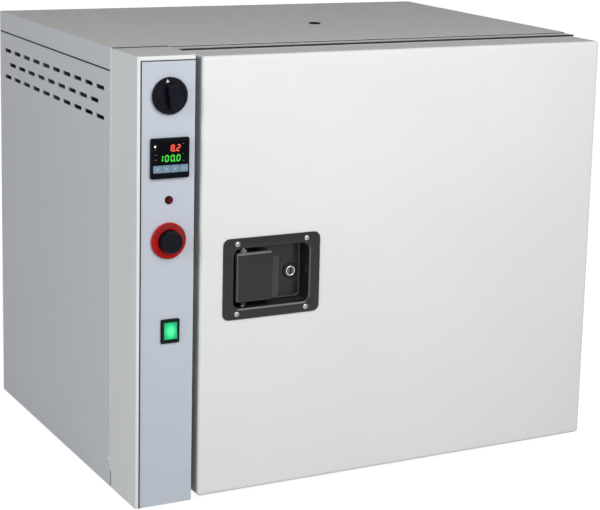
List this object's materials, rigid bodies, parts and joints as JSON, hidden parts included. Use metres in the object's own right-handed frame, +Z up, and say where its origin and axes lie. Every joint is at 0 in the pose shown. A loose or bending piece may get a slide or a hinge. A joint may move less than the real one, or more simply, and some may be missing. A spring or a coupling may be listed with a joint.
{
  "type": "dry heat sterilizer",
  "caption": "Bench dry heat sterilizer: insulated box with a fan-heated chamber, a side-hung door with a flush paddle latch, and a control column at its left.",
  "frame": {"origin": "on the surface that the feet rest on, under the centre of the whole object's box", "axes": "+Z up, -Y towards the door's front, +X towards the hinge side"},
  "size_m": [0.677, 0.5304, 0.563],
  "materials": {
    "door_paint": "fine satin powder coat",
    "cabinet_paint": "fine satin powder coat",
    "fascia_film": "blue-grey satin overlay",
    "stainless": "brushed",
    "bright_wire": "bright drawn wire",
    "lagging": "mineral wool",
    "seal_rubber": "silicone",
    "foot_rubber": "matt",
    "zinc_plate": "zinc plated",
    "latch_black": "black powder coat",
    "bright_chrome": "polished",
    "lock_black": "black",
    "knob_black": "moulded, satin",
    "instrument_black": "moulded",
    "display_window": "polished",
    "key_blue": "rubber touch",
    "lamp_red": "ribbed lens",
    "dial_red": "moulded",
    "bezel_black": "moulded",
    "rocker_green": "lit translucent",
    "heater_sheath": "heat tinted",
    "probe_steel": "bright",
    "motor_case": "black enamel",
    "relay_alloy": "anodised"
  },
  "bodies": {
    "cabinet": {"control_column": "cabinet_paint", "fascia": "fascia_film", "front_frame": "cabinet_paint", "top_cover": "cabinet_paint", "side_panel_left": "cabinet_paint", "side_panel_right": "cabinet_paint", "base_pan": "cabinet_paint", "rear_panel": "cabinet_paint", "feet": "foot_rubber", "chamber_liner": "stainless", "chamber_insulation": "lagging", "vent_tube": "stainless", "air_baffle": "stainless", "fan_motor": "motor_case", "heater_element": "heater_sheath", "rack_left": "stainless", "rack_right": "stainless", "shelf_lower": "bright_wire", "shelf_upper": "bright_wire", "temperature_probe": "probe_steel", "limit_sensor": "probe_steel", "component_plate": "zinc_plate", "power_relay": "relay_alloy", "mains_inlet": "bezel_black", "selector_switch": "knob_black", "controller_case": "instrument_black", "controller_window": "display_window", "pilot_lamp": "lamp_red", "limit_thermostat": "knob_black", "switch_bezel": "bezel_black", "strike_plate": "zinc_plate", "hinge_leaf_cabinet_lower": "zinc_plate", "hinge_leaf_cabinet_upper": "zinc_plate", "hinge_pins": "zinc_plate"},
    "door": {"door_skin": "door_paint", "door_inner_panel": "stainless", "door_insulation": "lagging", "door_gasket": "seal_rubber", "latch_tray": "latch_black", "tray_screws": "bright_chrome", "paddle_pin": "zinc_plate", "bolt_guide": "zinc_plate", "lock_body": "lock_black", "hinge_leaf_door_lower": "zinc_plate", "hinge_leaf_door_upper": "zinc_plate"},
    "paddle": {"latch_paddle": "latch_black"},
    "bolt": {"latch_bolt": "zinc_plate"},
    "lock": {"lock_plug": "bright_chrome"},
    "selector": {"selector_knob": "knob_black", "selector_shaft": "zinc_plate"},
    "limit": {"limit_dial": "dial_red", "limit_knob": "knob_black", "limit_shaft": "zinc_plate"},
    "rocker": {"switch_rocker": "rocker_green"},
    "fan": {"fan_wheel": "stainless", "fan_shaft": "zinc_plate"},
    "key_1": {"controller_key_1": "key_blue"},
    "key_2": {"controller_key_2": "key_blue"},
    "key_3": {"controller_key_3": "key_blue"},
    "key_4": {"controller_key_4": "key_blue"}
  },
  "joints": [
    {"name": "door_hinge", "type": "hinge", "parent": "cabinet", "child": "door", "pos_m": [0.3315, -0.18725, 0.282], "axis": [0, 0, 1], "range_deg": [0, 120]},
    {"name": "paddle_pivot", "type": "hinge", "parent": "door", "child": "paddle", "pos_m": [-0.1965, -0.24125, 0.2861], "axis": [0, 0, -1], "range_deg": [0, 35], "stiffness_Nm_per_rad": 0.05},
    {"name": "bolt_slide", "type": "slide", "parent": "door", "child": "bolt", "axis": [1, 0, 0], "range_m": [0, 0.0122]},
    {"name": "lock_turn", "type": "hinge", "parent": "door", "child": "lock", "pos_m": [-0.1255, -0.22725, 0.284], "axis": [0, 1, 0], "range_deg": [0, 90]},
    {"name": "selector_turn", "type": "hinge", "parent": "cabinet", "child": "selector", "pos_m": [-0.2985, -0.25025, 0.516], "axis": [0, 1, 0], "range_deg": [0, 270]},
    {"name": "limit_turn", "type": "hinge", "parent": "cabinet", "child": "limit", "pos_m": [-0.2985, -0.25025, 0.3424], "axis": [0, 1, 0], "range_deg": [0, 280]},
    {"name": "rocker_tilt", "type": "hinge", "parent": "cabinet", "child": "rocker", "pos_m": [-0.2953, -0.24675, 0.2309], "axis": [1, 0, 0], "range_deg": [0, 14]},
    {"name": "fan_spin", "type": "hinge", "parent": "cabinet", "child": "fan", "pos_m": [0.031, 0.13375, 0.282], "axis": [0, 1, 0], "continuous": true},
    {"name": "key_1_press", "type": "slide", "parent": "cabinet", "child": "key_1", "axis": [0, 1, 0], "range_m": [0, 0.0006], "stiffness_N_per_m": 200},
    {"name": "key_2_press", "type": "slide", "parent": "cabinet", "child": "key_2", "axis": [0, 1, 0], "range_m": [0, 0.0006], "stiffness_N_per_m": 200},
    {"name": "key_3_press", "type": "slide", "parent": "cabinet", "child": "key_3", "axis": [0, 1, 0], "range_m": [0, 0.0006], "stiffness_N_per_m": 200},
    {"name": "key_4_press", "type": "slide", "parent": "cabinet", "child": "key_4", "axis": [0, 1, 0], "range_m": [0, 0.0006], "stiffness_N_per_m": 200}
  ],
  "couplings": [
    {"joint": "paddle_pivot", "follows": "bolt_slide", "rad_per_m": 50}
  ]
}
